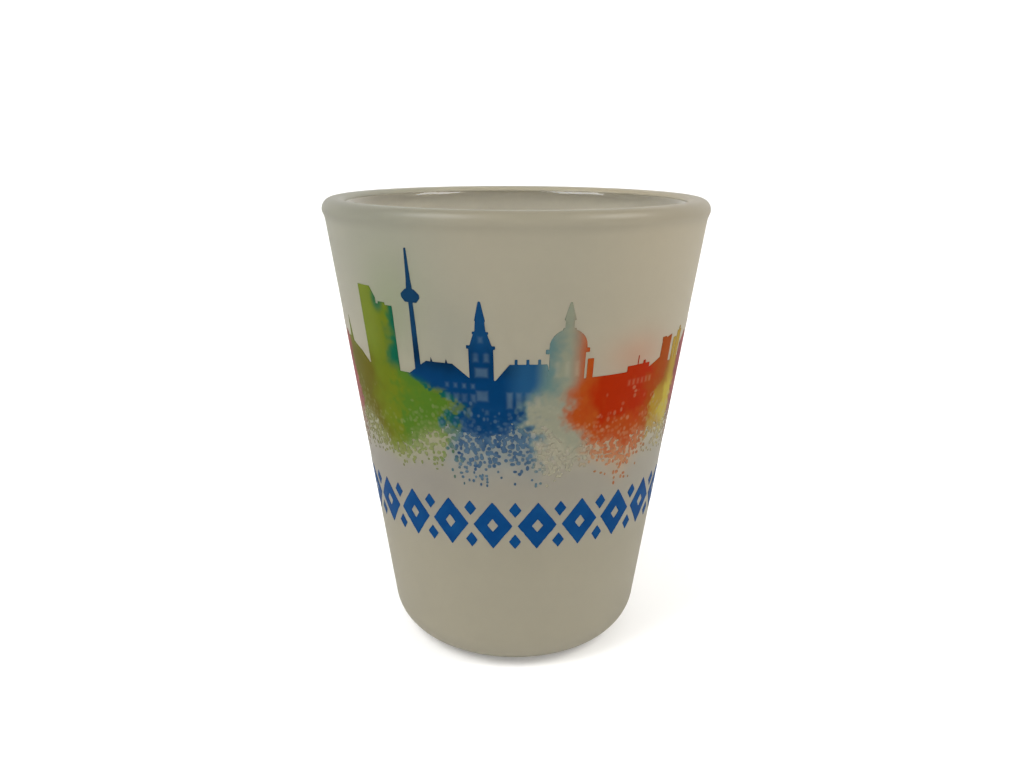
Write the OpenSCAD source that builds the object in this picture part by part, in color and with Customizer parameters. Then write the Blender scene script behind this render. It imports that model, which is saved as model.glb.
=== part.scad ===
// Frosted souvenir shot glass: pressed glass, a satin coat and a printed skyline.
// Millimetres, +Z up, origin at the centre of the foot. The print faces -Y.

/* [Glass] */
// Height from the table to the lip
glass_h = 60; // [58:0.5:66]
// Outer diameter that the straight wall would have at the lip
mouth_d = 50; // [46:0.5:54]
// Outer diameter that the straight wall would have at the table
foot_d = 32.6; // [30:0.2:38]
// Wall thickness just under the lip
wall_top = 2.8; // [2.7:0.1:3.2]
// Wall thickness at the inside floor
wall_low = 3.5; // [2.8:0.1:4.5]
// Thickness of the solid base
base_t = 12; // [8:0.5:16]

/* [Roundings] */
// Radius of the outer heel between the wall and the table
heel_r = 5.7; // [3:0.1:6.4]
// Radius inside, between the wall and the floor
floor_r = 5; // [2:0.5:8]
// Outer radius of the fire-polished lip
lip_out_r = 1.25; // [0.9:0.05:1.3]
// How far the lip stands out from the wall, as a soft bead
lip_bead = 0.2; // [0.1:0.05:0.3]
// Inner radius of the fire-polished lip
lip_in_r = 1.3; // [1:0.1:1.3]
// Radius of the hollow under the foot, at the table
punt_r = 8; // [5:0.2:9]
// Depth of the hollow under the foot
punt_h = 1; // [0.4:0.1:2]

/* [Coat and ink] */
// Thickness of the satin coat
coat_t = 0.1; // [0.06:0.01:0.2]
// How far the coat reaches down the inside of the lip, from the crest
coat_in = 0.6; // [0.3:0.1:0.8]
// Height of the lower edge of the coat, on the heel
coat_low = 0.3; // [0.3:0.1:2]
// Thickness of the ink film
ink_t = 0.06; // [0.04:0.01:0.12]

/* [Skyline] */
// Height of the eaves that the buildings share
eaves_z = 40.9; // [40:0.1:42]
// Height of the lower edge of the solid ink
wash_z = 34; // [32:0.5:35]
// Height that the lowest droplets reach
spray_z = 27; // [26.5:0.5:29]
// Droplets under each millimetre of wash
drop_density = 1.2; // [0.4:0.1:1.6]

/* [Border] */
// Height of the middle of the border
border_z = 21.9; // [21:0.1:22.4]
// Height of a large lozenge
lozenge_h = 6.5; // [4:0.1:7]
// Width of a large lozenge
lozenge_w = 4.8; // [3.6:0.1:4.8]
// Large lozenges in the row
lozenges = 14; // [6:2:18]
// Angle between neighbouring lozenges
lozenge_pitch = 16; // [15:0.5:20]

/* [Hidden] */
$fn = 96;

wall_tan = (mouth_d - foot_d) / 2 / glass_h;  // outward lean of the outer wall
wall_sec = sqrt(1 + wall_tan * wall_tan);
wall_sin = wall_tan / wall_sec;
cave_tan = wall_tan + (wall_low - wall_top) / (glass_h - base_t);  // lean of the inner wall
cave_sec = sqrt(1 + cave_tan * cave_tan);
cave_sin = cave_tan / cave_sec;
far = mouth_d;                                // longer than any radius
punt_sphere_r = (punt_r * punt_r + punt_h * punt_h) / 2 / punt_h;
golden = 0.618034;                            // spreads the droplets evenly
scallop = 1;                                  // size of the scallops under the solid ink
hole_share = 0.28;                            // size of a lozenge's hole to its outside
small_share = 0.32;                           // size of a small lozenge to a large one
small_rise = 0.34;                            // its distance from the middle, to a large one's height

// Radius of the outer wall and of the inner wall at a height
function wall_r(z) = foot_d / 2 + wall_tan * z;
function cave_r(z) = mouth_d / 2 - wall_top - cave_tan * (glass_h - z);

// Half section of the whole outside with its heel and lip rounded, grown outwards by a thickness
module outside(grow = 0) {
    heel_x = wall_r(heel_r) - heel_r * wall_sec;
    lip_z = glass_h - lip_out_r;
    lip_x = wall_r(lip_z) - lip_out_r * wall_sec + lip_bead;
    heel_end = heel_r - (heel_r + grow) * wall_sin;
    polygon([[0, 0], [heel_x, 0],
             [wall_r(heel_end) + grow * wall_sec, heel_end],
             [wall_r(lip_z) + grow * wall_sec, lip_z],
             [lip_x, glass_h], [0, glass_h]]);
    intersection() {
        translate([heel_x, heel_r]) circle(heel_r + grow);
        square([far, heel_r]);
    }
    translate([lip_x, lip_z]) circle(lip_out_r + grow);
}

// Half section of the room for the drink, open at the mouth, where the lip rounds away from it
module inside() {
    floor_z = base_t + floor_r;
    floor_x = cave_r(floor_z) - floor_r * cave_sec;
    floor_end = floor_z - floor_r * cave_sin;
    lip_z = glass_h - lip_in_r;
    lip_x = cave_r(lip_z) + lip_in_r * cave_sec;
    lip_end = lip_z + lip_in_r * cave_sin;
    polygon([[0, base_t], [floor_x, base_t], [cave_r(floor_end), floor_end],
             [cave_r(lip_end), lip_end], [cave_r(lip_end), far + glass_h], [0, far + glass_h]]);
    intersection() {
        translate([floor_x, floor_z]) circle(floor_r);
        square([far, floor_z]);
    }
    difference() {
        translate([0, lip_end]) square([lip_x, far]);
        translate([lip_x, lip_z]) circle(lip_in_r);
    }
}

// Half section of the bare glass, without the hollow under the foot
module outside_less_room() {
    difference() {
        outside();
        inside();
    }
}

module glass_body() {
    color([0.80, 0.81, 0.76, 0.6]) difference() {
        rotate_extrude() outside_less_room();
        translate([0, 0, punt_h - punt_sphere_r]) sphere(punt_sphere_r);
    }
}

// The coat follows the heel, the wall and the lip, and ends a little way down the inside of the lip
module frost_coat() {
    lip_x = wall_r(glass_h - lip_out_r) - lip_out_r * wall_sec + lip_bead;
    in_z = glass_h - lip_in_r;
    in_x = cave_r(in_z) + lip_in_r * cave_sec;
    edge_z = glass_h - coat_in;
    floor_z = base_t + floor_r;
    heel_x = wall_r(heel_r) - heel_r * wall_sec;
    color([0.66, 0.64, 0.56]) rotate_extrude() difference() {
        union() {
            intersection() {
                outside(coat_t);
                polygon([[far, coat_low], [far, far + glass_h], [in_x, far + glass_h], [in_x, edge_z],
                         [wall_r(floor_z) - wall_low / 3, floor_z], [heel_x, heel_r], [heel_x, coat_low]]);
            }
            intersection() {
                translate([in_x, in_z]) circle(lip_in_r + coat_t);
                translate([0, edge_z]) square([in_x, far]);
            }
            translate([in_x - 0.01, edge_z]) square([lip_x - in_x + 0.01, coat_in + coat_t]);
        }
        outside_less_room();
    }
}

// A tapered ring, one ink film thick, on the coat between two heights
module ink_ring(low, high) {
    in = coat_t * wall_sec;
    out = (coat_t + ink_t) * wall_sec;
    rotate_extrude() polygon([[wall_r(low) + in, low], [wall_r(low) + out, low],
                              [wall_r(high) + out, high], [wall_r(high) + in, high]]);
}

// Prints a flat drawing, x across and y up, on the wall at an angle from the front
module print_at(angle, low = spray_z - 1, high = eaves_z + 16) {
    intersection() {
        ink_ring(low, high);
        rotate([90, 0, angle]) linear_extrude(far) children();
    }
}

// Solid ink from the eaves down, between two sides that may lean, with a scalloped lower edge
module wash(top_left, top_right, low_left, low_right) {
    edge_z = wash_z + scallop;
    count = round((low_right - low_left) / scallop / 1.6);
    step = (low_right - low_left) / (count + 0.2);
    polygon([[top_left, eaves_z], [top_right, eaves_z], [low_right, edge_z], [low_left, edge_z]]);
    for (i = [0 : count - 1])
        translate([low_left + step * (i + 0.6), edge_z - 0.1])
            circle(step * (i % 2 == 0 ? 0.54 : 0.44));
}

// Droplets that thin out and shrink towards the lowest one
module spray(left, right) {
    count = round((right - left) * drop_density);
    for (i = [1 : count]) {
        part = i / count;
        x = left + (right - left) * ((i * golden) % 1);
        translate([x, wash_z - 1 - (wash_z - 1 - spray_z) * part * part])
            circle(0.32 - 0.16 * part);
    }
}

module box(left, right, low, high) {
    translate([left, low]) square([right - left, high - low]);
}

// A row of window openings
module windows(first, count, pitch, low, size = [0.5, 1]) {
    for (i = [0 : count - 1])
        translate([first + i * pitch, low]) square(size);
}

module green_print() {
    color([0.43, 0.50, 0.14]) print_at(-52) {
        wash(-6.8, 6, -6.2, 7.2);
        spray(-5.4, 7.4);
        box(-0.2, 2.8, eaves_z - 1, eaves_z + 9.9);
        box(2.7, 5.6, eaves_z - 1, eaves_z + 7.8);
        polygon([[-6.6, eaves_z - 1], [-1, eaves_z - 1], [-3.4, eaves_z + 1.4],
                 [-4.5, eaves_z + 3], [-4.9, eaves_z + 5], [-5.3, eaves_z + 3], [-6.6, eaves_z + 2]]);
    }
}

module needle_tower(x) {
    pod_z = eaves_z + 9.3;
    polygon([[x - 0.42, eaves_z], [x + 0.42, eaves_z], [x + 0.3, pod_z], [x - 0.3, pod_z]]);
    polygon([[x - 0.8, pod_z - 0.7], [x + 0.8, pod_z - 0.7], [x + 1.2, pod_z - 0.2],
             [x + 1.2, pod_z + 0.3], [x + 0.6, pod_z + 0.9], [x - 0.6, pod_z + 0.9],
             [x - 1.2, pod_z + 0.3], [x - 1.2, pod_z - 0.2]]);
    polygon([[x - 0.35, pod_z], [x + 0.35, pod_z], [x + 0.12, pod_z + 5.6], [x - 0.12, pod_z + 5.6]]);
}

module spired_tower(x) {
    difference() {
        box(x - 1.4, x + 1.4, eaves_z - 1, eaves_z + 4);
        windows(x - 0.35, 1, 1, eaves_z + 0.4, [0.7, 1.1]);
        windows(x - 0.85, 2, 1.2, eaves_z + 2.3, [0.5, 0.9]);
    }
    box(x - 1.6, x + 1.6, eaves_z + 3.7, eaves_z + 4.2);
    polygon([[x - 1.1, eaves_z + 3.9], [x + 1.1, eaves_z + 3.9], [x + 0.7, eaves_z + 6],
             [x + 0.5, eaves_z + 7.4], [x, eaves_z + 9.4], [x - 0.5, eaves_z + 7.4], [x - 0.7, eaves_z + 6]]);
}

module blue_print() {
    color([0.02, 0.23, 0.45]) print_at(-12) {
        difference() {
            wash(-8.2, 8, -6.4, 7.2);
            windows(-2.2, 2, 1.1, eaves_z - 2.2);
            windows(2.7, 5, 1.05, eaves_z - 2.2);
            windows(0.4, 1, 1, eaves_z - 2.4, [0.8, 1.2]);
        }
        spray(-7, 7.4);
        needle_tower(-7);
        polygon([[-7.9, eaves_z - 0.3], [-5.7, eaves_z + 1.8], [-2.7, eaves_z + 1.8], [-0.9, eaves_z - 0.3]]);
        polygon([[2.5, eaves_z - 0.3], [3.9, eaves_z + 2], [7.5, eaves_z + 2], [7.7, eaves_z - 0.3]]);
        spired_tower(0.8);
    }
}

module pale_blue_print() {
    color([0.49, 0.54, 0.50]) print_at(15) {
        wash(-2.2, 2.3, -2.6, 2);
        spray(-2.8, 1.9);
        box(-2, 2, eaves_z - 1, eaves_z + 3.5);
        box(-2.5, 2.5, eaves_z + 3.3, eaves_z + 3.9);
        translate([0, eaves_z + 4]) circle(2.1);
        box(-0.5, 0.5, eaves_z + 5.6, eaves_z + 7.2);
        polygon([[-0.7, eaves_z + 7], [0.7, eaves_z + 7], [0, eaves_z + 9.2]]);
    }
}

module orange_print() {
    color([0.64, 0.22, 0.04]) print_at(36) {
        difference() {
            wash(-5.2, 5.4, -4.6, 4.4);
            windows(0.7, 4, 0.9, eaves_z - 1.9, [0.4, 0.8]);
        }
        spray(-4.6, 4.2);
        box(-5.2, -4.5, eaves_z - 1, eaves_z + 2.6);
        box(0.3, 3.6, eaves_z - 1, eaves_z + 0.8);
        box(1.9, 2.1, eaves_z, eaves_z + 2);
        polygon([[3.9, eaves_z - 0.1], [5.4, eaves_z - 0.1], [5.4, eaves_z + 0.9]]);
    }
}

module yellow_print() {
    color([0.65, 0.50, 0.15]) print_at(58) {
        wash(-2.9, 2.9, -3.2, 2.6);
        spray(-3, 2.6);
        box(-2.7, -0.7, eaves_z - 1, eaves_z + 3.6);
        box(0.4, 2, eaves_z - 1, eaves_z + 3.2);
    }
}

// One end of the skyline: low gabled houses and a stepped block
module roofs(side) {
    print_at(side * 89) mirror([side < 0 ? 1 : 0, 0]) {
        wash(-8.4, 8.2, -8, 6.8);
        spray(-7.6, 6.6);
        polygon([[-8.4, eaves_z - 0.1], [-8.4, eaves_z + 1.6], [-6.6, eaves_z + 3], [-4.8, eaves_z + 1.6],
                 [-4.8, eaves_z - 0.1]]);
        box(-3.9, -1.4, eaves_z - 1, eaves_z + 4.2);
        box(-1.5, 0.6, eaves_z - 1, eaves_z + 2.6);
        polygon([[1.6, eaves_z - 0.1], [3.4, eaves_z + 2.2], [5.2, eaves_z - 0.1]]);
        box(6.2, 7.2, eaves_z - 1, eaves_z + 1.8);
    }
}

module maroon_print() {
    color([0.42, 0.16, 0.20]) {
        roofs(-1);
        roofs(1);
    }
}

module lozenge(w, h) {
    polygon([[-w / 2, 0], [0, -h / 2], [w / 2, 0], [0, h / 2]]);
}

// Large open lozenges in a row, with two small solid ones, above and below, between each two
module border_print() {
    first = -(lozenges - 1) / 2 * lozenge_pitch;
    low = border_z - lozenge_h;
    high = border_z + lozenge_h;
    color([0.06, 0.29, 0.53]) {
        for (i = [0 : lozenges - 1])
            print_at(first + i * lozenge_pitch, low, high) translate([0, border_z]) difference() {
                lozenge(lozenge_w, lozenge_h);
                lozenge(lozenge_w * hole_share, lozenge_h * hole_share);
            }
        for (i = [0 : lozenges - 2], side = [-1, 1])
            print_at(first + (i + 0.5) * lozenge_pitch, low, high)
                translate([0, border_z + side * lozenge_h * small_rise])
                    lozenge(lozenge_w * small_share, lozenge_h * small_share);
    }
}

glass_body();
frost_coat();
green_print();
blue_print();
pale_blue_print();
orange_print();
yellow_print();
maroon_print();
border_print();
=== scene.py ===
"""Frosted souvenir shot glass: clear pressed glass, a satin coat and a printed watercolour skyline."""
import math

import bmesh
import bpy
import numpy as np
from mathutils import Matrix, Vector


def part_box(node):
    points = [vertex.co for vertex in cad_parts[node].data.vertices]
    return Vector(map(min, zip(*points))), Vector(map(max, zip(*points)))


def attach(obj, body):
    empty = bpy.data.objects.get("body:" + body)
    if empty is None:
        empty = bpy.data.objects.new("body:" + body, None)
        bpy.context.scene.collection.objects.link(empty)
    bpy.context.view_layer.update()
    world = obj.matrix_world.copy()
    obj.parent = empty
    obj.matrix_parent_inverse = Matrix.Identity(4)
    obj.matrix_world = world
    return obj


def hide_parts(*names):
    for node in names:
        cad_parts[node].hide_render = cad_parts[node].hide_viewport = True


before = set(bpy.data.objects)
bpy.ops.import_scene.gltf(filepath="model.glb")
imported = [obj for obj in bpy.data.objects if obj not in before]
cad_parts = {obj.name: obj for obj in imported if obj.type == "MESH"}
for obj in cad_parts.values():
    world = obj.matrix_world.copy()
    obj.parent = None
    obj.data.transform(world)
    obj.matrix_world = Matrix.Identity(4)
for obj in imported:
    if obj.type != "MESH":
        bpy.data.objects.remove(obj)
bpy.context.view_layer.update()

MM = 0.001

# ---------------------------------------------------------------- sizes of the glass, in mm
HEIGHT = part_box("glass_body")[1][2] / MM
LIP_OUT_R = 1.25         # outer radius of the fire-polished lip
LIP_BEAD = 0.2           # how far the lip stands out from the wall
LIP_IN_R = 1.3           # inner radius of the lip
FOOT_R = 16.3            # where the straight wall would meet the table
MOUTH_R = 25.0           # where it would meet the height of the lip
HEEL_R = 5.7             # rounding of the outer heel
FLOOR_R = 5.0            # rounding inside, between wall and floor
BASE_T = 12.0            # thickness of the solid base
WALL_TOP, WALL_LOW = 2.8, 3.5    # thickness of the wall under the lip and at the floor
PUNT_R, PUNT_H = 8.0, 1.0        # hollow under the foot
COAT_T = 0.10            # thickness of the satin coat
COAT_IN = 0.6            # how far the coat reaches down the inside of the lip
COAT_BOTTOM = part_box("frost_coat")[0][2] / MM    # its lower edge, on the heel
INK_T = 0.03             # thickness of an ink film

WALL_TAN = (MOUTH_R - FOOT_R) / HEIGHT
LEAN = math.atan(WALL_TAN)
CAVE_TAN = WALL_TAN + (WALL_LOW - WALL_TOP) / (HEIGHT - BASE_T)
CAVE_LEAN = math.atan(CAVE_TAN)


def wall_r(z):
    """Outer radius of the bare glass at a height."""
    return FOOT_R + WALL_TAN * z


def cave_r(z):
    """Radius of the inner wall at a height."""
    return MOUTH_R - WALL_TOP - CAVE_TAN * (HEIGHT - z)


# ---------------------------------------------------------------- mesh helpers
def new_piece(name, vertices, faces, flat=()):
    """A mesh object from points in mm, smooth but for the listed faces."""
    mesh = bpy.data.meshes.new(name)
    mesh.from_pydata((np.asarray(vertices) * MM).tolist(), [], faces)
    soft = np.ones(len(mesh.polygons), dtype=bool)
    soft[list(flat)] = False
    mesh.polygons.foreach_set("use_smooth", soft)
    mesh.update()
    piece = bpy.data.objects.new(name, mesh)
    bpy.context.scene.collection.objects.link(piece)
    return piece


def arc(x, z, radius, start, end, steps):
    """Points on a circle from one angle to another, in degrees."""
    turn = np.radians(np.linspace(start, end, steps))
    return [(x + radius * math.cos(t), z + radius * math.sin(t)) for t in turn]


def line(a, b, steps):
    """Points from a to b without b."""
    return [(a[0] + (b[0] - a[0]) * i / steps, a[1] + (b[1] - a[1]) * i / steps) for i in range(steps)]


def lathe(name, outline, segments, closed=False, wobble=None):
    """Turns (radius, height) points round Z. An open outline starts and ends on the axis."""
    turn = np.linspace(0, 2 * math.pi, segments, endpoint=False)
    rings = outline if closed else outline[1:-1]
    radius = np.array([p[0] for p in rings])[:, None]
    height = np.array([p[1] for p in rings])[:, None]
    if wobble is not None:
        radius = radius + wobble(turn[None, :], height)
    ring_points = np.stack([radius * np.sin(turn), -radius * np.cos(turn),
                            np.broadcast_to(height, (len(rings), segments))], axis=-1)
    points = ring_points.reshape(-1, 3)
    faces = []
    for i in range(len(rings) if closed else len(rings) - 1):
        here, there = i * segments, (i + 1) % len(rings) * segments
        for j in range(segments):
            k = (j + 1) % segments
            faces.append((here + j, here + k, there + k, there + j))
    if not closed:
        first, last = len(points), len(points) + 1
        points = np.vstack([points, [(0, 0, outline[0][1]), (0, 0, outline[-1][1])]])
        top = (len(rings) - 1) * segments
        for j in range(segments):
            k = (j + 1) % segments
            faces.append((first, k, j))
            faces.append((last, top + j, top + k))
    return new_piece(name, points, faces)


def paint(piece, name, colours):
    """Stores one linear colour for each vertex."""
    layer = piece.data.color_attributes.new(name, "FLOAT_COLOR", "POINT")
    rgba = np.ones((len(colours), 4), dtype=np.float32)
    rgba[:, :3] = colours
    layer.data.foreach_set("color", rgba.ravel())


# ---------------------------------------------------------------- noise on the unrolled wall
def smooth(t):
    """An S curve that is 0 up to 0 and 1 from 1."""
    t = np.clip(t, 0, 1)
    return t * t * (3 - 2 * t)


def noise(x, z, size, seed):
    """Soft random field from 0 to 1 with spots of the given size in mm, on a grid that the seed turns."""
    lattice = np.random.default_rng(seed).random((128, 256))
    across, up = math.cos(seed), math.sin(seed)
    u, v = (x * across + z * up) / size, (z * across - x * up) / size
    i, j = np.floor(u).astype(int), np.floor(v).astype(int)
    s, t = smooth(u - i), smooth(v - j)
    a, b = lattice[j % 128, i % 256], lattice[j % 128, (i + 1) % 256]
    c, d = lattice[(j + 1) % 128, i % 256], lattice[(j + 1) % 128, (i + 1) % 256]
    return (a * (1 - s) + b * s) * (1 - t) + (c * (1 - s) + d * s) * t


def cloud(x, z, size, seed, octaves=3):
    """Noise with finer noise on it, centred on 0, mostly within -0.5 to 0.5."""
    total, weight = 0.0, 0.0
    for k in range(octaves):
        total = total + (noise(x, z, size / 2 ** k, seed + k) - 0.5) * 0.6 ** k
        weight += 0.6 ** k
    return total / weight * 1.5


# ---------------------------------------------------------------- shapes of the print
# A shape is a field in mm: above 0 inside, 0 on its edge, below 0 outside.
def box(x, z, left, right, low, high):
    return np.minimum(np.minimum(x - left, right - x), np.minimum(z - low, high - z))


def convex(x, z, *points):
    """A convex polygon, its points given clockwise."""
    sides = []
    for (x0, z0), (x1, z1) in zip(points, points[1:] + points[:1]):
        length = math.hypot(x1 - x0, z1 - z0)
        sides.append(((x - x0) * (z1 - z0) - (z - z0) * (x1 - x0)) / length)
    return np.minimum.reduce(sides)


def disc(x, z, cx, cz, r):
    """A circle round (cx, cz)."""
    return r - np.hypot(x - cx, z - cz)


def joined(*shapes):
    """All the shapes together."""
    return np.maximum.reduce(shapes)


def row(shape, first, count, pitch):
    """The same shape several times, side by side."""
    return joined(*[shape(first + i * pitch) for i in range(count)])


# ---------------------------------------------------------------- layout of the print
# x runs to the right round the wall, in mm at the height of the eaves, from the front. z is the height.
EAVES = 40.9
WASH_EDGE = 33.6         # about where the solid ink breaks up
SPRAY_EDGE = 26.0        # about where the lowest droplets are
PRINT_END = 43.5         # x of both ends of the skyline
DEGREE = math.radians(1) * wall_r(EAVES)     # mm of x in one degree round the glass
GRID = 0.09              # mm between the points that the films are cut from
DAB_ROOM = 0.8           # mm of grid that one droplet can reach on each side

BLOCK_X = -20.1          # middle of the stepped block
NEEDLE_X = -11.8
HALL_X = -9.0
SPIRE_X = -3.9
WING_X = 1.2
DOME_X = 5.8
ROW_X = 13.6             # middle of the long low blocks
CHIMNEY_X = 21.0
TWIN_X = 23.9
ROOFS_X = 34.5           # middle of the low roofs, at both ends


def needle_tower(x, z):
    x = x - NEEDLE_X
    pod = EAVES + 9.3
    return joined(
        convex(x, z, (-0.42, EAVES), (-0.27, pod), (0.27, pod), (0.42, EAVES)),
        convex(x, z, (-0.75, pod - 0.65), (-1.2, pod - 0.1), (-1.2, pod + 0.3), (-0.55, pod + 0.9),
               (0.55, pod + 0.9), (1.2, pod + 0.3), (1.2, pod - 0.1), (0.75, pod - 0.65)),
        convex(x, z, (-0.4, pod + 0.8), (-0.26, pod + 2.2), (0.26, pod + 2.2), (0.4, pod + 0.8)),
        convex(x, z, (-0.28, pod + 2), (-0.12, pod + 5.6), (0.12, pod + 5.6), (0.28, pod + 2)))


def hall(x, z):
    x = x - HALL_X
    return joined(
        convex(x, z, (-4.1, EAVES - 0.3), (-4.1, EAVES), (-1.6, EAVES + 1.8), (1.7, EAVES + 1.8),
               (3.9, EAVES), (3.9, EAVES - 0.3)),
        row(lambda at: convex(x, z, (at - 0.35, EAVES + 0.9), (at, EAVES + 2.35), (at + 0.35, EAVES + 0.9)),
            -0.9, 2, 1.9))


def spired_tower(x, z):
    x = x - SPIRE_X
    return joined(
        box(x, z, -1.4, 1.4, EAVES - 1, EAVES + 4),
        box(x, z, -1.62, 1.62, EAVES + 3.75, EAVES + 4.15),
        convex(x, z, (-1.25, EAVES + 4.1), (-0.72, EAVES + 5.7), (0.72, EAVES + 5.7), (1.25, EAVES + 4.1)),
        box(x, z, -0.9, 0.9, EAVES + 5.5, EAVES + 5.8),
        convex(x, z, (-0.62, EAVES + 5.7), (-0.5, EAVES + 7.1), (0.5, EAVES + 7.1), (0.62, EAVES + 5.7)),
        convex(x, z, (-0.6, EAVES + 7), (-0.12, EAVES + 9.3), (0.12, EAVES + 9.3), (0.6, EAVES + 7)))


def wing(x, z):
    x = x - WING_X
    return joined(
        convex(x, z, (-3.5, EAVES - 0.3), (-3.5, EAVES), (-1.9, EAVES + 2), (2.3, EAVES + 2),
               (3, EAVES - 0.3)),
        row(lambda at: box(x, z, at - 0.16, at + 0.16, EAVES + 1.7, EAVES + 2.6), -1.2, 3, 1.3))


def domed_tower(x, z):
    x = x - DOME_X
    return joined(
        box(x, z, -2.1, 2.1, EAVES - 1, EAVES + 3.4),
        box(x, z, -2.55, 2.55, EAVES + 3.2, EAVES + 3.75),
        np.minimum(disc(x, z, 0, EAVES + 3.9, 2.2), z - EAVES - 3.5),
        box(x, z, -0.75, 0.75, EAVES + 5.7, EAVES + 6.2),
        box(x, z, -0.5, 0.5, EAVES + 6, EAVES + 7.2),
        convex(x, z, (-0.68, EAVES + 7.1), (-0.1, EAVES + 9.2), (0.1, EAVES + 9.2), (0.68, EAVES + 7.1)))


def long_blocks(x, z):
    x = x - ROW_X
    return joined(
        box(x, z, -5.4, -4.6, EAVES - 1, EAVES + 2.4),
        box(x, z, -4.8, 0.4, EAVES - 1, EAVES + 0.05),
        box(x, z, 0.3, 4.1, EAVES - 1, EAVES + 0.75),
        box(x, z, 1.9, 2.06, EAVES, EAVES + 1.9),
        box(x, z, 2.9, 3.3, EAVES, EAVES + 1.15),
        convex(x, z, (4, EAVES - 0.5), (4, EAVES + 0.05), (6.4, EAVES + 1), (6.4, EAVES - 0.5)))


def chimney(x, z):
    x = x - CHIMNEY_X
    return joined(
        convex(x, z, (-1.25, EAVES - 1), (-1.05, EAVES + 3.1), (1.15, EAVES + 3.5), (1.25, EAVES - 1)),
        box(x, z, -1.15, -0.2, EAVES + 3, EAVES + 3.45))


def twin_towers(x, z):
    x = x - TWIN_X
    return joined(
        box(x, z, -0.95, -0.1, EAVES - 1, EAVES + 2.9),
        box(x, z, 0.1, 1.5, EAVES - 1, EAVES + 3.6),
        box(x, z, 0.6, 1.0, EAVES + 3.4, EAVES + 4.1))


def stepped_block(x, z):
    x = x - BLOCK_X
    return joined(
        convex(x, z, (-0.2, EAVES - 1), (-0.2, EAVES + 9.9), (2.1, EAVES + 9.9), (2.9, EAVES + 8.6),
               (2.9, EAVES - 1)),
        box(x, z, 2.7, 5.5, EAVES - 1, EAVES + 7.9),
        box(x, z, 3.3, 4.4, EAVES + 7.7, EAVES + 8.2))


def gable_and_spire(x, z):
    x = x - BLOCK_X
    return joined(
        convex(x, z, (-6.8, EAVES - 1), (-6.8, EAVES + 1.7), (-5.9, EAVES + 2.9), (-4.3, EAVES + 2.6),
               (-2.2, EAVES + 1.2), (-0.1, EAVES + 0.5), (-0.1, EAVES - 1)),
        convex(x, z, (-5.6, EAVES + 2), (-5.1, EAVES + 5.2), (-4.6, EAVES + 2)))


def low_roofs(x, z):
    """The same row of houses at both ends of the skyline, mirrored."""
    x = np.abs(x) - ROOFS_X
    return joined(
        convex(x, z, (-8.6, EAVES - 1), (-8.6, EAVES + 1.5), (-6.8, EAVES + 3), (-5, EAVES + 1.5),
               (-5, EAVES - 1)),
        box(x, z, -4, -1.4, EAVES - 1, EAVES + 4.2),
        box(x, z, -3.4, -2.7, EAVES + 4, EAVES + 4.9),
        box(x, z, -1.6, 0.7, EAVES - 1, EAVES + 2.6),
        convex(x, z, (1.4, EAVES - 1), (1.4, EAVES), (3.4, EAVES + 2.3), (5.4, EAVES), (5.4, EAVES - 1)),
        box(x, z, 4.1, 4.5, EAVES, EAVES + 2.2),
        box(x, z, 6, 7.4, EAVES - 1, EAVES + 1.8))


def openings(x, z):
    """Windows and arches, which are printed paler."""
    def window(w, low, high, across=x):
        return lambda at: box(across, z, at - w / 2, at + w / 2, low, high)

    def arch(w, low, high):
        return lambda at: joined(window(w, low, high)(at), disc(x, z, at, high, w / 2))

    return joined(
        row(window(1.3, EAVES + 0.45, EAVES + 1.4), SPIRE_X, 1, 1),
        row(window(1.2, EAVES - 2.5, EAVES - 1.4), SPIRE_X, 1, 1),
        row(arch(0.42, EAVES + 2.3, EAVES + 3), SPIRE_X - 0.6, 2, 1.2),
        row(arch(0.34, EAVES - 4.2, EAVES - 3.9), SPIRE_X - 1.7, 2, 2.2) - 0.05,
        row(window(0.6, EAVES - 2.8, EAVES - 1.8), HALL_X + 0.9, 4, 1.05) - 0.08,
        row(window(0.45, EAVES - 1.1, EAVES - 0.5), HALL_X + 0.9, 4, 1.05) - 0.12,
        row(window(0.5, EAVES - 3.3, EAVES - 1.5), WING_X - 1.9, 4, 1.08),
        row(arch(0.5, EAVES + 0.4, EAVES + 2), DOME_X - 1.2, 3, 1.2) - 0.06,
        row(window(0.3, EAVES - 1.7, EAVES - 1.1), ROW_X + 0.9, 6, 0.75) - 0.05,
        row(window(0.3, EAVES + 4.6, EAVES + 5.1), SPIRE_X, 1, 1),
        row(window(0.25, EAVES + 1.4, EAVES + 1.8, np.abs(x)), ROOFS_X - 3.4, 3, 0.7),
        row(window(0.25, EAVES + 2.6, EAVES + 3, np.abs(x)), ROOFS_X - 3.4, 3, 0.7))


def hump(x, middle, width):
    """1 in the middle, falling softly to 0 past the width on both sides."""
    return np.exp(-((x - middle) / width) ** 2)


def solid_edge(x):
    """Height where the solid ink starts to break up: higher in the blue, lower in green, pale and orange."""
    return (WASH_EDGE + 0.7 * np.sin(x / 2.1) + 1.5 * hump(x, -3, 5) - 2.4 * hump(x, -17, 4)
            - 1.6 * hump(x, 7, 2) - 2.6 * hump(x, 15.6, 3))


def spray_edge(x):
    """Height of the lowest droplets."""
    return (SPRAY_EDGE + 2.2 + 0.5 * np.sin(x / 1.7 + 2) - 2.2 * hump(x, 1.5, 4) - 1.4 * hump(x, -5, 3)
            - 3.1 * hump(x, 14.8, 2.8))


def wash(x, z):
    """The painted body of the print, with a ragged lower edge and ends."""
    tatter = 1.6 * cloud(x, z, 2.2, 11) + 1.1 * cloud(x, z, 0.7, 17, 2)
    side = PRINT_END - np.abs(x) + 2.4 * cloud(x, z, 2.0, 23)
    return np.minimum(np.minimum(z - solid_edge(x) + tatter, EAVES - z), side)


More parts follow.
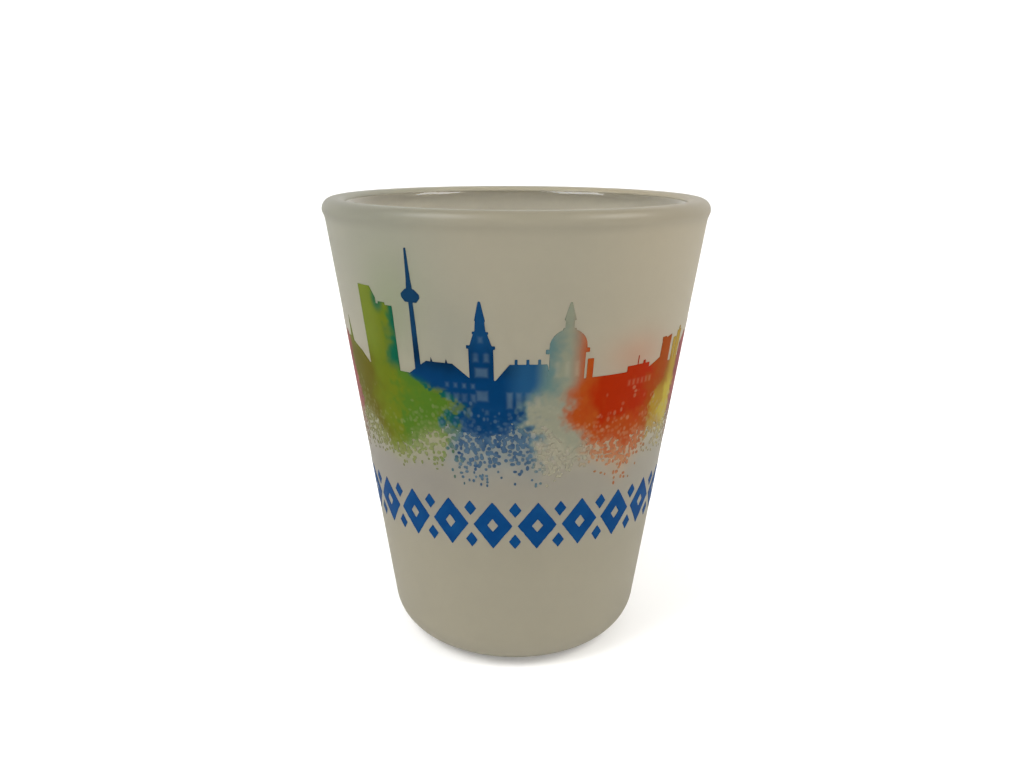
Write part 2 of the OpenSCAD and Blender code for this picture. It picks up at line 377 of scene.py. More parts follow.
def dab(x, z, at, level, size, squash):
    """Part of the grid round one spot, and the field of the spot there."""
    i = np.searchsorted(x[0], [at - DAB_ROOM, at + DAB_ROOM])
    j = np.searchsorted(z[:, 0], [level - DAB_ROOM, level + DAB_ROOM])
    window = (slice(*j), slice(*i))
    return window, size - np.hypot((x[window] - at) * squash, (z[window] - level) / squash)


def scattered(rng, low, high, pitch):
    """Points about as far apart as the pitch, in uneven rows across the print between two heights."""
    across = np.arange(-PRINT_END + 1, PRINT_END - 1, pitch)
    at, level = np.meshgrid(across, np.arange(low, high, 0.87 * pitch))
    at[1::2] += pitch / 2
    shake = rng.uniform(-0.42, 0.42, (2,) + at.shape) * pitch
    return (at + shake[0]).ravel(), (level + shake[1]).ravel()


def spray_share(x, z):
    """1 where the solid ink starts to break up, falling to 0 at the lowest droplets."""
    return (z - spray_edge(x)) / (solid_edge(x) - spray_edge(x))


def spatter(x, z, field, seed=5):
    """Adds pale spots to the lower part of the wash, and droplets below it, smaller and fewer further
    down. Returns how thin the ink is in each spot and droplet."""
    rng = np.random.default_rng(seed)
    thin = np.zeros_like(field)
    at, level = scattered(rng, WASH_EDGE - 5, WASH_EDGE + 6, 0.58)
    grade, chance, depth = rng.random((3, len(at)))
    squash = rng.uniform(0.75, 1.3, len(at))
    above = level - solid_edge(at)
    swarm = noise(at, level, 1.5, 29)
    pale = chance < smooth(1.1 - above / 4.5) + 0.6 * (swarm - 0.6)
    for k in np.flatnonzero(pale):
        window, spot = dab(x, z, at[k], level[k], 0.1 + 0.16 * grade[k], squash[k])
        thin[window] = np.maximum(thin[window], (0.08 + 0.3 * depth[k]) * smooth(spot / 0.22 + 0.6))
    at, level = scattered(rng, SPRAY_EDGE - 0.3, WASH_EDGE + 1, 0.6)
    grade, chance, squash = rng.random(len(at)), rng.random(len(at)), rng.uniform(0.78, 1.28, len(at))
    share = np.clip(spray_share(at, level), 0, 1.2)
    swarm = 0.6 * noise(at, level, 1.2, 29) + 0.4 * noise(at, level, 2.9, 31)
    drop = (share > 0) & (chance < 0.1 + 1.35 * share + 1.1 * (swarm - 0.55))
    size = 0.13 + 0.1 * share + 0.12 * grade * (0.4 + share)
    faint = 0.22 + 0.4 * (1.2 - share) * rng.random(len(at)) + 0.2 * hump(at, 5, 2.5) - 0.1 * hump(at, 16, 5)
    for k in np.flatnonzero(drop):
        window, spot = dab(x, z, at[k], level[k], size[k], squash[k])
        bare = (spot > -GRID) & (field[window] < 0)
        thin[window] = np.where(bare, faint[k], thin[window])
        field[window] = np.maximum(field[window], spot)
    return thin


# ---------------------------------------------------------------- colours of the print
LIGHT = 1.5              # a surface looks this many times as bright as its colour in the studio light


def shown(red, green, blue):
    """The surface colour that looks like this one, given from 0 to 255, in the studio light."""
    value = np.array((red, green, blue)) / 255
    linear = np.where(value < 0.04045, value / 12.92, ((value + 0.055) / 1.055) ** 2.4)
    return np.clip(linear / LIGHT, 0, 0.95)


def blend(a, b, share):
    """Colours from a to b, where share goes from 0 to 1."""
    share = np.clip(share, 0, 1)[..., None]
    return a * (1 - share) + b * share


FROST = shown(156, 150, 130)
# painted light on the frost: a cooler, bluer reflection for the top left and warmer light for the right
FROST_PAINTED_REFLECTION = shown(141, 142, 127)
FROST_PAINTED_WARM_LIGHT = shown(166, 156, 133)
MAROON = shown(122, 52, 56)
PLUM = shown(150, 84, 80)
OLIVE = shown(92, 86, 10)
GREEN = shown(98, 111, 20)
LIME = shown(134, 150, 74)
LEAF = shown(74, 108, 30)
TEAL = shown(8, 86, 62)
NAVY = shown(0, 36, 64)
COBALT = shown(0, 54, 98)
STEEL = shown(34, 82, 120)
PALE = shown(130, 133, 114)
MIST = shown(92, 118, 114)
RED = shown(156, 38, 0)
RUST = shown(160, 70, 20)
AMBER = shown(144, 66, 4)
OCHRE = shown(136, 82, 14)
YELLOW = shown(170, 152, 54)
ROYAL = shown(6, 62, 116)
ROYAL_WORN = shown(16, 74, 126)
THIN_BLUE = shown(100, 122, 132)
THIN_GREEN = shown(136, 138, 98)
THIN_ORANGE = shown(172, 140, 106)
MIST_LOW = shown(132, 128, 120)
HAZE_GREEN = shown(124, 134, 104)
HAZE_BLUE = shown(140, 140, 124)
HAZE_ORANGE = shown(172, 124, 96)


MELT_WIDTHS = (1.2, 1.2, 1.6, 2.8, 1.4, 1.2)     # mm over which the inks melt into each other, at each line


def ink_line(x, z, at, spread, seed):
    """Distance to the right of an uneven line between two inks, which breaks up into specks lower down."""
    low = smooth((EAVES - z) / 5)
    return x - at - spread * cloud(x, z, 1.8, seed) - 1.6 * low * cloud(x, z, 0.7, seed + 4, 2)


def ink_lines(x, z):
    """The lines between the six inks, from left to right."""
    below = EAVES - z
    blue_end = 3.6 - 1.6 * smooth(below / 4) + 1.4 * smooth((below - 6) / 4)
    pale_end = 7.2 - 0.8 * smooth(below / 2) + 3 * smooth((below - 5) / 4)
    return (
        ink_line(x, z, -26.6 + 0.8 * smooth(below / 6), 0.9, 43),
        ink_line(x, z, -13.2 + 4.1 * smooth(below / 2.8), 2.4 * smooth(below / 2), 47),
        ink_line(x, z, blue_end, 0.2 + 1.8 * smooth(below / 3), 53),
        ink_line(x, z, pale_end, 0.25 + 1.2 * smooth(below / 3), 59),
        ink_line(x, z, 22.4 - 2.8 * smooth(below / 5), 1.1 * smooth(below / 2), 61),
        ink_line(x, z, 25.6 + 0.4 * smooth(below / 6), 0.8, 67))


def over(field, width):
    """0 well inside the near side of a line, 1 well past it."""
    return smooth(field / width + 0.5)


def green_colour(x, z, bloom, fine):
    """Olive at the left, green, then leaf green. The block's right side and notch run to teal."""
    high = z - EAVES
    colour = blend(GREEN, OLIVE, 0.95 * over(-x - 19.4 + 2.4 * (bloom - 0.5), 4) * over(-high + 2, 3)
                   + 0.3 * (bloom - 0.5))
    colour = blend(colour, LEAF, over(x + 15.2 + 2 * (fine - 0.5), 3) + 0.5 * (fine - 0.6) * over(x + 19, 3))
    side = over(x - BLOCK_X - 4.3 + 1.6 * (bloom - 0.5) + 0.5 * (fine - 0.5), 1.6) * over(high - 0.5, 2)
    notch = over(-np.hypot(x - BLOCK_X - 3.1, (high - 8.5) / 1.6) + 0.9, 0.8)
    colour = blend(colour, LIME, 0.2 * over(high - 2, 4) * over(BLOCK_X + 2.6 - x + bloom - 0.5, 2.4))
    return blend(colour, TEAL, np.maximum(side, 0.8 * notch))


def blue_colour(x, z, bloom, fine, lines):
    """Navy roofs over a cobalt wash, with green and pale inks run into its two sides."""
    high = z - EAVES
    colour = blend(NAVY, COBALT, np.maximum(over(-high + 0.5 + bloom, 3), 0.9 * hump(x, SPIRE_X, 2)))
    colour = blend(colour, STEEL, 0.3 * over(high - 4, 3) + 0.8 * over(x + 0.4, 3) * over(high + 2, 2)
                   + 0.6 * (fine - 0.45) * over(-high - 4, 4))
    colour = blend(colour, TEAL, 0.85 * over(-lines[1] + 1.5, 2.4) * over(-high - 0.5, 1.5))
    specks = over(fine - 0.56, 0.24) * over(-lines[1] + 2, 3) * over(-high - 1.2, 1.6)
    colour = blend(colour, GREEN, 0.75 * specks)
    return blend(colour, MIST, 0.75 * over(lines[2] + 0.9, 1.6))


def pale_colour(x, z, bloom, fine):
    """Pale grey-green, bluer at the left of the dome, and close to the bare frost low down."""
    high = z - EAVES
    colour = blend(PALE, MIST, 0.9 * over(-x + DOME_X - 0.8 + (bloom - 0.5), 2.2) * over(high + 2, 4)
                   + 0.5 * (fine - 0.5))
    return blend(colour, FROST, 0.25 * over(-high - 3 + bloom, 3))


def orange_colour(x, z, bloom, fine):
    """Red in the middle, rust where it is thin at the left and below, amber towards the chimney."""
    high = z - EAVES
    colour = blend(RED, RUST, 0.95 * over(-x + ROW_X - 3.9 + 1.5 * (bloom - 0.5), 2.4)
                   + 0.8 * over(-high - 6 + 3 * (bloom - 0.5), 2.5) + 0.35 * (fine - 0.6))
    return blend(colour, AMBER, 0.9 * over(x - ROW_X - 5 + 2 * (bloom - 0.5) + 1.4 * (fine - 0.5), 3.4))


def side_by_side(lines, inks):
    """The six inks, and the first one again at the far end, melting into each other."""
    colour = np.broadcast_to(inks[0], lines[0].shape + (3,))
    for field, ink, width in zip(lines, inks[1:], MELT_WIDTHS):
        colour = blend(colour, ink, over(field, width))
    return colour


def ink_colours(x, z):
    """The watercolour: each ink with its own runs and blooms, melting into the next."""
    lines = ink_lines(x, z)
    bloom = cloud(x, z, 2.6, 71) + 0.5
    fine = cloud(x, z, 0.8, 73, 2) + 0.5
    maroon = blend(MAROON, PLUM, bloom)
    yellow = blend(OCHRE, YELLOW, 0.6 * over(x - 22.6 + 2.4 * (bloom - 0.5), 1.6)
                   + 0.5 * over(EAVES - z - 3, 3))
    inks = (maroon, green_colour(x, z, bloom, fine), blue_colour(x, z, bloom, fine, lines),
            pale_colour(x, z, bloom, fine), orange_colour(x, z, bloom, fine), yellow, maroon)
    return side_by_side(lines, inks)


def thin_colours(x, z):
    """What each ink fades to where it is thin."""
    return side_by_side(ink_lines(x, z), (FROST, THIN_GREEN, THIN_BLUE, FROST, THIN_ORANGE, FROST, FROST))


def skyline_colours(x, z, droplets):
    """Ink colours with pale windows, and thinner ink where the wash breaks up and in some droplets."""
    fine = cloud(x, z, 0.6, 79, 2)
    coarse = cloud(x, z, 2.2, 83) + 0.5
    glow = smooth(openings(x, z) / 0.5 + 0.6) * (0.2 + 0.34 * coarse)
    below = solid_edge(x) - z
    weak = 0.14 + 0.3 * smooth((-x - 8) / 4) + 0.12 * smooth((x - 3) / 4)
    thin = smooth((below + 2) / 4.5) * (weak + 0.3 * (coarse - 0.5) + 0.3 * fine)
    thin = np.where(z > EAVES, 0, thin + droplets)
    thin = thin + 0.7 * smooth((np.abs(x) - PRINT_END + 5) / 6 + 0.5 * (coarse - 0.5))
    return blend(ink_colours(x, z), thin_colours(x, z), np.maximum(glow, np.clip(thin, 0, 0.75)))


# ---------------------------------------------------------------- films of ink
CORNERS = ((0, 0), (0, 1), (1, 1), (1, 0))       # row and column steps round one cell
CUT_MARGIN = 0.06        # nearest that a cut comes to a grid point, as a share of the edge


def on_wall(x, z, lift):
    """Points at the given height above the bare glass."""
    turn = x / DEGREE * math.pi / 180
    radius = wall_r(z) + lift / math.cos(LEAN)
    return np.stack([radius * np.sin(turn), -radius * np.cos(turn), z], axis=-1)


def film(name, x, z, field, colours, lift=COAT_T, thickness=INK_T):
    """A closed thin solid wherever the field is above 0, cut along its zero line."""
    inside = field > 0
    used = {}                        # grid point or cut edge -> number of its vertex
    flat_x, flat_z, tint = [], [], []

    def vertex(key, share=0.0):
        """The grid point (j, i), or the cut at share of the way from it to its neighbour."""
        if key not in used:
            j, i, dj, di = key
            used[key] = len(flat_x)
            k, m = j + dj, i + di
            flat_x.append(x[j, i] * (1 - share) + x[k, m] * share)
            flat_z.append(z[j, i] * (1 - share) + z[k, m] * share)
            tint.append(colours[j, i] * (1 - share) + colours[k, m] * share)
        return used[key]

    def cut(a, b):
        """The vertex where the outline crosses the edge between two grid points."""
        (j, i), (k, m) = sorted((a, b))
        f0, f1 = field[j, i], field[k, m]
        share = min(max(f0 / (f0 - f1), CUT_MARGIN), 1 - CUT_MARGIN)
        return vertex((j, i, k - j, m - i), share)

    count = inside[:-1, :-1].astype(int) + inside[1:, :-1] + inside[:-1, 1:] + inside[1:, 1:]
    tops, rims = [], []
    for j, i in np.argwhere(count > 0):
        ring = [(j + dj, i + di) for dj, di in CORNERS]
        if count[j, i] == 4:
            tops.append([vertex((*p, 0, 0)) for p in ring])
            continue
        start = next(c for c in range(4) if inside[ring[c]] and not inside[ring[c - 1]])
        loop = []
        for c in range(start, start + 4):
            before, here, after = ring[(c - 1) % 4], ring[c % 4], ring[(c + 1) % 4]
            if not inside[here]:
                continue
            if not inside[before]:
                loop.append(cut(before, here))
            loop.append(vertex((*here, 0, 0)))
            if not inside[after]:
                loop.append(cut(here, after))
                tops.append(loop)
                rims.append((loop[-1], loop[0]))
                loop = []
    outer = on_wall(np.array(flat_x), np.array(flat_z), lift + thickness)
    inner = on_wall(np.array(flat_x), np.array(flat_z), lift)
    n = len(outer)
    faces = tops + [[v + n for v in reversed(loop)] for loop in tops]
    sides = range(len(faces), len(faces) + len(rims))
    faces += [(b, a, a + n, b + n) for a, b in rims]
    piece = new_piece(name, np.vstack([outer, inner]), faces, sides)
    paint(piece, "ink", np.vstack([tint, tint]))
    return piece


def ride(piece, node):
    """The piece stands for a CAD node, on the glass's only body."""
    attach(piece, "root")
    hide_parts(node)


def print_skyline(material):
    """The skyline, cut into one film for each ink."""
    x, z = np.meshgrid(np.arange(-PRINT_END - 1.5, PRINT_END + 1.5, GRID),
                       np.arange(SPRAY_EDGE - 0.6, EAVES + 15.4, GRID))
    buildings = joined(*[shape(x, z) for shape in (
        needle_tower, hall, spired_tower, wing, domed_tower, long_blocks, chimney, twin_towers,
        stepped_block, gable_and_spire, low_roofs)])
    field = joined(buildings, wash(x, z))
    droplets = spatter(x, z, field)
    colours = skyline_colours(x, z, droplets)
    lines = ink_lines(x, z)
    middle = [np.minimum(left, -right) for left, right in zip(lines[:-1], lines[1:])]
    parts = {
        "maroon": joined(-lines[0], lines[-1]),
        "green": middle[0],
        "blue": middle[1],
        "pale_blue": middle[2],
        "orange": middle[3],
        "yellow": middle[4],
    }
    for ink, part in parts.items():
        piece = film(ink + "_ink", x, z, np.minimum(field, part), colours)
        piece.data.materials.append(material)
        ride(piece, ink + "_print")


# ---------------------------------------------------------------- border
LOZENGES = 14
LOZENGE_PITCH = 16                  # degrees
LOZENGE_W, LOZENGE_H = 4.8, 6.5
HOLE_SHARE, SMALL_SHARE = 0.28, 0.32
SMALL_RISE = 0.34                   # of a large one's height
BORDER_LOW, BORDER_HIGH = (corner[2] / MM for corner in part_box("border_print"))
BORDER_Z = (BORDER_LOW + BORDER_HIGH) / 2


def print_border(material):
    """Large open lozenges in a row, with two small ones, above and below, between each two."""
    size = DEGREE / (math.radians(1) * wall_r(BORDER_Z))      # x is larger than real down here
    first = -(LOZENGES - 1) / 2 * LOZENGE_PITCH
    reach = (-first + LOZENGE_PITCH / 2) * DEGREE
    x, z = np.meshgrid(np.arange(-reach, reach, GRID), np.arange(BORDER_LOW - 0.25, BORDER_HIGH + 0.3, GRID))

    def lozenge(at, share, rise=0.0):
        w, h = LOZENGE_W * share * size / 2, LOZENGE_H * share / 2
        up_down = np.abs(z - BORDER_Z - rise * LOZENGE_H)
        return (1 - np.abs(x - at) / w - up_down / h) * w * h / math.hypot(w, h)

    shapes = []
    for i in range(LOZENGES):
        at = (first + i * LOZENGE_PITCH) * DEGREE
        shapes.append(np.minimum(lozenge(at, 1), -lozenge(at, HOLE_SHARE)))
        if i:
            between = at - LOZENGE_PITCH / 2 * DEGREE
            shapes += [lozenge(between, SMALL_SHARE, SMALL_RISE), lozenge(between, SMALL_SHARE, -SMALL_RISE)]
    worn = 0.05 * cloud(x, z, 0.5, 91, 2)
    colours = blend(ROYAL, ROYAL_WORN, cloud(x, z, 1.8, 97) + 0.4)
    piece = film("border_ink", x, z, joined(*shapes) + worn, np.broadcast_to(colours, x.shape + (3,)))
    piece.data.materials.append(material)
    ride(piece, "border_print")


# ---------------------------------------------------------------- glass and coat
SEGMENTS = 384
GROOVE_SOFT = 26         # degrees of the lip that the groove between lip and wall rounds off
GROOVE_RUN = 0.7         # mm of the wall that it rounds off
EDGE_STEPS = 2           # points by which the coat's outer face stops short, which bevels its edge
EDGE_PAINTED_LIGHT = 1.35         # painted light: the coat is painted brighter towards its edge inside the lip, where it thins out
COAT_SHARE = 1.155       # the coat's outer face makes up for the light that it lets in
INNER_FACE_PAINTED_LIGHT = np.array((0.86, 0.81, 0.65))     # colour of the coat's inner face, against the glass: painted light, for light that the coat lets through
BOND = 0.02              # the coat's inner face reaches this far into the glass, which lets light pass


def heel_centre():
    """Radius and height of the middle of the heel's rounding."""
    return wall_r(HEEL_R) - HEEL_R / math.cos(LEAN), HEEL_R


def lip_centre():
    """The same for the outside of the lip."""
    z = HEIGHT - LIP_OUT_R
    return wall_r(z) - LIP_OUT_R / math.cos(LEAN) + LIP_BEAD, z


def lip_in_centre():
    """The same for the inside of the lip."""
    z = HEIGHT - LIP_IN_R
    return cave_r(z) + LIP_IN_R / math.cos(CAVE_LEAN), z


def bend(a, corner, b, steps):
    """A soft curve from a to b, drawn towards a corner between them."""
    share = np.linspace(0, 1, steps)[:, None]
    a, corner, b = np.array(a), np.array(corner), np.array(b)
    curve = (1 - share) ** 2 * a + 2 * share * (1 - share) * corner + share ** 2 * b
    return [tuple(point) for point in curve]


def outer_wall(lift, heel_start):
    """Outline of the outside, a little above the glass, from a height on the heel: heel, wall, the soft
    groove under the lip, and the lip up to its crest."""
    heel_x, heel_z = heel_centre()
    lip_x, lip_z = lip_centre()
    lean = math.degrees(LEAN)
    heel_from = -math.degrees(math.asin(min((heel_z - heel_start) / (HEEL_R + lift), 1)))
    heel = arc(heel_x, heel_z, HEEL_R + lift, heel_from, -lean, 22)
    radius = LIP_OUT_R + lift
    groove = -lean - math.degrees(math.acos((radius - LIP_BEAD * math.cos(LEAN)) / radius))
    lip = arc(lip_x, lip_z, radius, groove + GROOVE_SOFT, 90, 16)
    crease = arc(lip_x, lip_z, radius, groove, groove, 1)[0]
    before = (crease[0] - math.sin(LEAN) * GROOVE_RUN, crease[1] - math.cos(LEAN) * GROOVE_RUN)
    return heel + line(heel[-1], before, 110)[1:] + bend(before, crease, lip[0], 9)[:-1] + lip


def make_glass(material):
    """The pressed tumbler, with the slight waviness of hot glass."""
    heel_x = heel_centre()[0]
    cave_lean = math.degrees(CAVE_LEAN)
    floor_z = BASE_T + FLOOR_R
    floor_x = cave_r(floor_z) - FLOOR_R / math.cos(CAVE_LEAN)
    punt_ball = (PUNT_R ** 2 + PUNT_H ** 2) / 2 / PUNT_H
    punt_half = math.degrees(math.asin(PUNT_R / punt_ball))
    outline = arc(0, PUNT_H - punt_ball, punt_ball, 90, 90 - punt_half, 14)
    outline += line((PUNT_R + 0.05, 0), (heel_x, 0), 4) + outer_wall(0, 0)
    lip_in = arc(*lip_in_centre(), LIP_IN_R, 90, 180 - cave_lean, 14)
    floor = arc(floor_x, floor_z, FLOOR_R, -cave_lean, -90, 18)
    outline += lip_in + line(lip_in[-1], floor[0], 36)[1:] + floor
    outline += line((floor_x, BASE_T), (0, BASE_T), 10)[1:] + [(0, BASE_T)]

    def wave(turn, height):
        inside = smooth((height - 8) / 20)
        return 0.012 * inside * (np.sin(3 * turn + 0.08 * height) + 0.6 * np.sin(7 * turn - 0.15 * height))

    piece = lathe("tumbler", outline, SEGMENTS, wobble=wave)
    piece.data.materials.append(material)
    ride(piece, "glass_body")


def coat_colours(x, z):
    """The satin coat: a painted cooler reflection at the top left and painted warmer light at the right,
    with mist round the brightest inks, a faint band of painted shade low on the wall, and painted shade on
    the lip, deepest at its sides, with painted light at its back."""
    turn = np.radians(x / DEGREE)
    # painted reflection, cooler, on the upper left front, and painted warmer light on the upper right
    reflection_share = smooth(-2 * np.sin(turn) - 0.26) * smooth(1.2 + np.cos(turn)) * over(z - 46, 20)
    colour = blend(FROST, FROST_PAINTED_REFLECTION, reflection_share)
    colour = blend(colour, FROST_PAINTED_WARM_LIGHT, smooth(1.8 * np.sin(turn) - 0.33) * over(z - 38, 26) * 0.9)
    colour = blend(colour, HAZE_GREEN, hump(x, -14.5, 4.5) * hump(z, 49, 6))
    colour = blend(colour, HAZE_BLUE, 0.9 * hump(x, -7.5, 4) * hump(z, 46, 5))
    colour = blend(colour, HAZE_ORANGE, 0.8 * hump(x, 15.4, 4.6) * hump(z, 43, 2.6))
    # painted shade: a faint darker band just above the top of the solid base
    colour = colour * (1 - 0.035 * hump(z, 17, 2.4))[..., None]
    from_end = PRINT_END - np.abs(x)
    low_mist = (0.7 + 0.3 * smooth((-x - 4) / 8)) * hump(z, 27, 5) * over(from_end - 3, 14)
    colour = blend(colour, MIST_LOW, low_mist)
    mist = 0.78 * smooth(spray_share(x, z) * 1.15) * over(WASH_EDGE + 5 - z, 4) * over(from_end, 3)
    colour = blend(colour, thin_colours(x, z), mist)
    # painted shade on the lip, darkest at its two sides, and painted light at its back
    lip = 0.92 - 0.1 * np.sin(turn) ** 2 + 0.1 * smooth(-np.cos(turn))
    colour = blend(colour, colour * lip[..., None], over(z - HEIGHT + 2.2, 1.2))
    uneven = 0.02 * cloud(x, z, 6, 101) * smooth(1.5 + 1.5 * np.cos(turn))
    return colour * COAT_SHARE * (1 + uneven)[..., None]


def make_coat(material):
    """A closed thin shell over the heel, the wall and the lip, with a bevelled edge inside the lip."""
    def face(lift):
        """Outline of one face, from the heel over the lip to the edge inside it."""
        radius = LIP_IN_R + lift
        edge = 180 - math.degrees(math.asin((LIP_IN_R - COAT_IN) / radius))
        return outer_wall(lift, COAT_BOTTOM) + arc(*lip_in_centre(), radius, 90, edge, 14)

    outer, inner = face(COAT_T)[:-EDGE_STEPS], face(-BOND)
    piece = lathe("satin_coat", outer + inner[::-1], SEGMENTS, closed=True)
    points = np.empty(len(piece.data.vertices) * 3)
    piece.data.vertices.foreach_get("co", points)
    points = points.reshape(-1, 3) / MM
    x = np.degrees(np.arctan2(points[:, 0], -points[:, 1])) * DEGREE
    colours = coat_colours(x, points[:, 2])
    past_lip = lip_in_centre()[0] - np.hypot(points[:, 0], points[:, 1])
    # painted light on the coat's thinning edge inside the lip
    thinner = smooth(past_lip) * (points[:, 2] > HEIGHT - COAT_IN)
    colours = blend(colours, colours * EDGE_PAINTED_LIGHT, thinner)
    # painted light: the inner face is far lighter than the coat, for light let in through the coat
    colours[len(outer) * SEGMENTS:] = INNER_FACE_PAINTED_LIGHT
    paint(piece, "ink", colours)
    piece.data.materials.append(material)
    ride(piece, "frost_coat")


# ---------------------------------------------------------------- materials
def node_material(name):
    """A material with one Principled shader. Returns the material, its tree and the shader."""
    material = bpy.data.materials.new(name)
    material.use_nodes = True
    tree = material.node_tree
    return material, tree, tree.nodes["Principled BSDF"]


def add_node(tree, kind, **values):
    """A node with some of its inputs or settings given by name."""
    node = tree.nodes.new(kind)
    for name, value in values.items():
        if name in node.inputs:
            node.inputs[name].default_value = value
        else:
            setattr(node, name, value)
    return node


POLISH_RUN = 1.2         # mm over which the wall turns into the smoother lip
LIP_POLISH = 0.72        # the lip's roughness, as a share of the wall's


def rough_bump(tree, shader, scale, low, high, height, detail=4.0, polish=None):
    """Roughness between two values and a fine bump, both from one noise on the object. Above the height
    named by polish, in mm, the surface is a little smoother."""
    where = add_node(tree, "ShaderNodeTexCoord")
    spots = add_node(tree, "ShaderNodeTexNoise", Scale=scale, Detail=detail, Roughness=0.6)
    spread = add_node(tree, "ShaderNodeMapRange")
    spread.inputs["To Min"].default_value = low
    spread.inputs["To Max"].default_value = high
    bump = add_node(tree, "ShaderNodeBump", Strength=0.4, Distance=height)
    tree.links.new(where.outputs["Object"], spots.inputs["Vector"])
    tree.links.new(spots.outputs["Fac"], spread.inputs["Value"])
    rough = spread.outputs["Result"]
    if polish:
        place = add_node(tree, "ShaderNodeSeparateXYZ")
        rise = add_node(tree, "ShaderNodeMapRange", interpolation_type="SMOOTHSTEP")
        rise.inputs["From Min"].default_value = polish * MM
        rise.inputs["From Max"].default_value = (polish + POLISH_RUN) * MM
        rise.inputs["To Min"].default_value = 1.0
        rise.inputs["To Max"].default_value = LIP_POLISH
        product = add_node(tree, "ShaderNodeMath", operation="MULTIPLY")
        tree.links.new(where.outputs["Object"], place.inputs["Vector"])
        tree.links.new(place.outputs["Z"], rise.inputs["Value"])
        tree.links.new(rough, product.inputs[0])
        tree.links.new(rise.outputs["Result"], product.inputs[1])
        rough = product.outputs["Value"]
    tree.links.new(rough, shader.inputs["Roughness"])
    tree.links.new(spots.outputs["Fac"], bump.inputs["Height"])
    tree.links.new(bump.outputs["Normal"], shader.inputs["Normal"])


def clear_glass():
    material, tree, shader = node_material("clear glass")
    shader.inputs["Base Color"].default_value = (0.97, 0.965, 0.93, 1)
    shader.inputs["Transmission Weight"].default_value = 1
    shader.inputs["IOR"].default_value = 1.5
    rough_bump(tree, shader, scale=160, low=0.02, high=0.07, height=0.00002, detail=2)
    return material


def painted(name, low, high, grain, specular, see_through=0.0, polish=None):
    """Satin surface whose colour comes from the piece's own painted colours. It may let some light in."""
    material, tree, shader = node_material(name)
    colour = add_node(tree, "ShaderNodeVertexColor", layer_name="ink")
    where = add_node(tree, "ShaderNodeTexCoord")
    speck = add_node(tree, "ShaderNodeTexNoise", Scale=grain, Detail=3.0, Roughness=0.7)
    shade = add_node(tree, "ShaderNodeMapRange")
    shade.inputs["To Min"].default_value = 0.93
    shade.inputs["To Max"].default_value = 1.07
    mottled = add_node(tree, "ShaderNodeVectorMath", operation="SCALE")
    tree.links.new(where.outputs["Object"], speck.inputs["Vector"])
    tree.links.new(speck.outputs["Fac"], shade.inputs["Value"])
    tree.links.new(colour.outputs["Color"], mottled.inputs[0])
    tree.links.new(shade.outputs["Result"], mottled.inputs["Scale"])
    tree.links.new(mottled.outputs["Vector"], shader.inputs["Base Color"])
    shader.inputs["IOR"].default_value = 1.5
    shader.inputs["Specular IOR Level"].default_value = specular
    rough_bump(tree, shader, scale=grain * 2, low=low, high=high, height=0.00001, polish=polish)
    if see_through:
        glow = add_node(tree, "ShaderNodeBsdfTranslucent", Color=(0.92, 0.9, 0.85, 1))
        mix = add_node(tree, "ShaderNodeMixShader", Fac=see_through)
        tree.links.new(shader.outputs["BSDF"], mix.inputs[1])
        tree.links.new(glow.outputs["BSDF"], mix.inputs[2])
        tree.links.new(mix.outputs["Shader"], tree.nodes["Material Output"].inputs["Surface"])
    return material


# ---------------------------------------------------------------- the room
def make_stage():
    """A round white bowl: a floor that curves up into a wall, open above."""
    floor_end, wall_at, wall_top = 550, 900, 900
    curve_r = wall_at - floor_end
    outline = [(0, 0), (120, 0)] + line((240, 0), (floor_end, 0), 4)
    outline += arc(floor_end, curve_r, curve_r, -90, 0, 24) + [(wall_at, wall_top), (0, wall_top)]
    stage = lathe("stage", outline, 96)
    mesh = stage.data
    lid = len(mesh.vertices) - 1
    lid_faces = [f.index for f in mesh.polygons if lid in f.vertices]
    cut = bmesh.new()
    cut.from_mesh(mesh)
    cut.faces.ensure_lookup_table()
    bmesh.ops.delete(cut, geom=[cut.faces[i] for i in lid_faces], context="FACES")
    bmesh.ops.reverse_faces(cut, faces=cut.faces)
    cut.to_mesh(mesh)
    cut.free()
    material, _, shader = node_material("white board")
    shader.inputs["Base Color"].default_value = (0.92, 0.92, 0.92, 1)
    shader.inputs["Emission Color"].default_value = (1, 1, 1, 1)
    shader.inputs["Emission Strength"].default_value = 0.12
    shader.inputs["Roughness"].default_value = 0.9
    shader.inputs["Specular IOR Level"].default_value = 0.1
    mesh.materials.append(material)


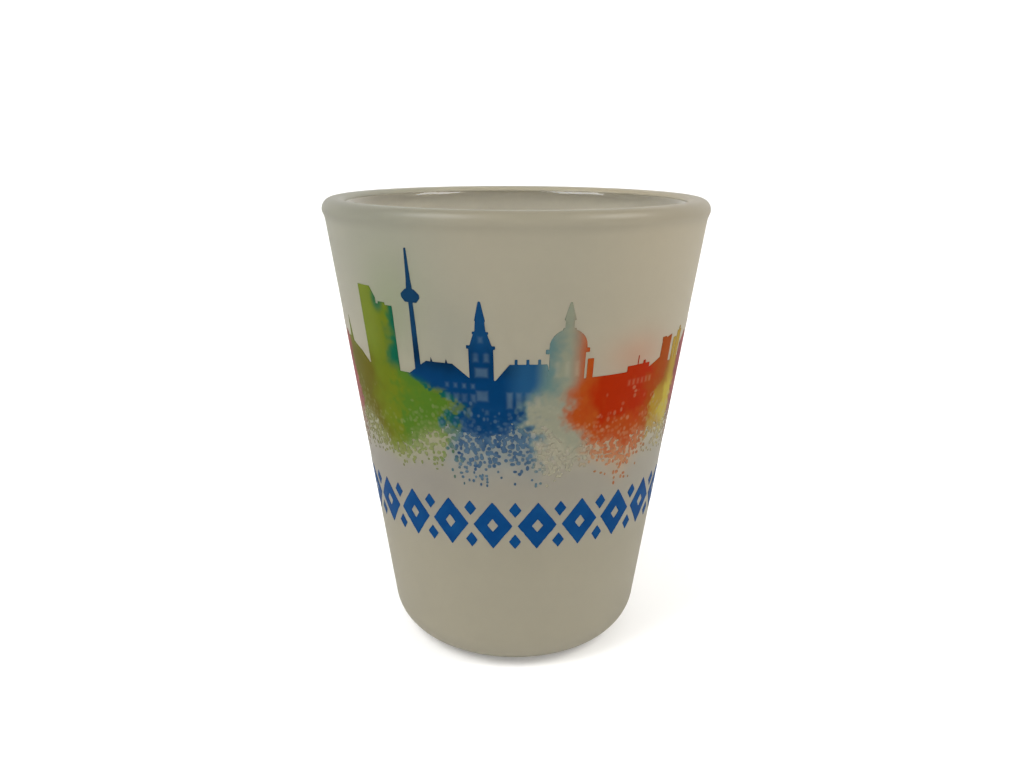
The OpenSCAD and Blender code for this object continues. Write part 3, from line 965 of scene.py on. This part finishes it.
def softbox(name, place, size, power, colour=(1, 1, 1)):
    """A square area light, in mm, aimed at the middle of the glass."""
    lamp = bpy.data.lights.new(name, "AREA")
    lamp.size = size * MM
    lamp.energy = power
    lamp.color = colour
    light = bpy.data.objects.new(name, lamp)
    light.location = [value * MM for value in place]
    aim = np.array((0, 0, HEIGHT / 2)) - np.array(place)
    light.rotation_euler = Vector(aim).to_track_quat("-Z", "Y").to_euler()
    bpy.context.scene.collection.objects.link(light)


def make_lights():
    world = bpy.data.worlds.new("studio")
    world.use_nodes = True
    world.node_tree.nodes["Background"].inputs["Color"].default_value = (1, 0.99, 0.97, 1)
    world.node_tree.nodes["Background"].inputs["Strength"].default_value = 0.5
    bpy.context.scene.world = world
    softbox("key", (-420, -260, 620), 420, 4.0)
    softbox("fill", (480, -160, 520), 320, 2.4, (1, 0.97, 0.93))


# ---------------------------------------------------------------- camera
CAMERA_BACK = 122.6      # from the glass's axis, level
CAMERA_UP = 67.9
CAMERA_SIDE = -0.45
CAMERA_TILT = 15.24      # degrees below level
CAMERA_ROLL = 0.23
LENS = 32.24             # mm, on a 36 mm sensor


def make_camera():
    data = bpy.data.cameras.new("camera")
    data.lens = LENS
    data.sensor_width = 36
    data.clip_start, data.clip_end = 0.005, 10
    camera = bpy.data.objects.new("camera", data)
    camera.location = (CAMERA_SIDE * MM, -CAMERA_BACK * MM, CAMERA_UP * MM)
    camera.rotation_mode = "ZXY"
    camera.rotation_euler = (math.radians(90 - CAMERA_TILT), 0, math.radians(CAMERA_ROLL))
    bpy.context.scene.collection.objects.link(camera)
    bpy.context.scene.camera = camera


# ---------------------------------------------------------------- the model
make_camera()
ink_film = painted("satin ink", low=0.42, high=0.58, grain=900, specular=0.02)
frost = painted("satin frost", low=0.4, high=0.54, grain=700, specular=0.45, see_through=0.35,
                polish=HEIGHT - 1.6)
make_glass(clear_glass())
make_coat(frost)
print_skyline(ink_film)
print_border(ink_film)
make_stage()
make_lights()
bpy.context.scene.view_settings.view_transform = "Standard"
